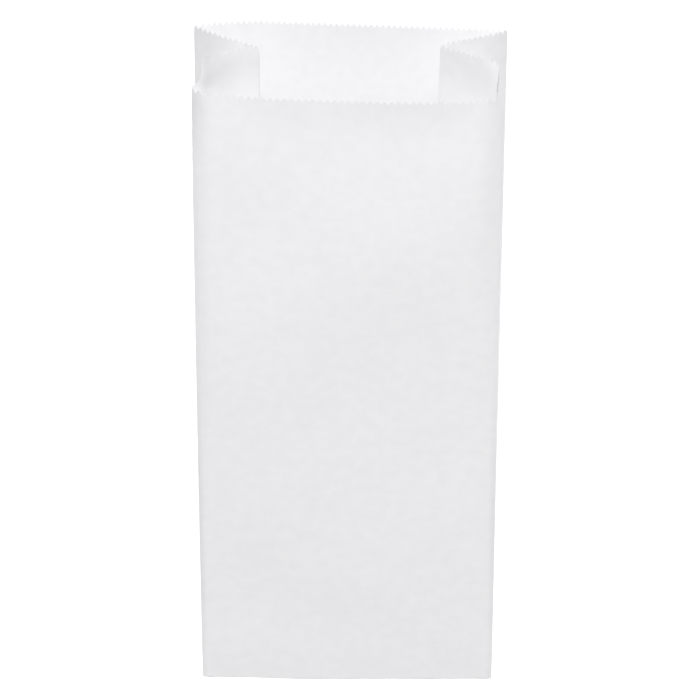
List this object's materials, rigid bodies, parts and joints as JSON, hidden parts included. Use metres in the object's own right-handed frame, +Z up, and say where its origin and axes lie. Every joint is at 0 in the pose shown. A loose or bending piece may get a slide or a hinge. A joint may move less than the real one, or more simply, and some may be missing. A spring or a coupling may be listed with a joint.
{
  "type": "gusseted paper bag",
  "caption": "White paper bag with side gussets, saw-cut mouth with a back lip, and a folded and glued flat bottom end, lying empty on its back with its mouth a little open.",
  "frame": {"origin": "on the ground, under the centre of the bounding box of the lying bag", "axes": "+Y along the bag from its bottom fold toward its mouth, +X across it, +Z up, from the back panel toward the front panel"},
  "size_m": [0.1404, 0.352, 0.0433],
  "materials": {
    "paper": "thin uncoated bleached white paper, matt, faintly see-through"
  },
  "bodies": {
    "root": {"paper_bag": "paper"}
  },
  "joints": []
}
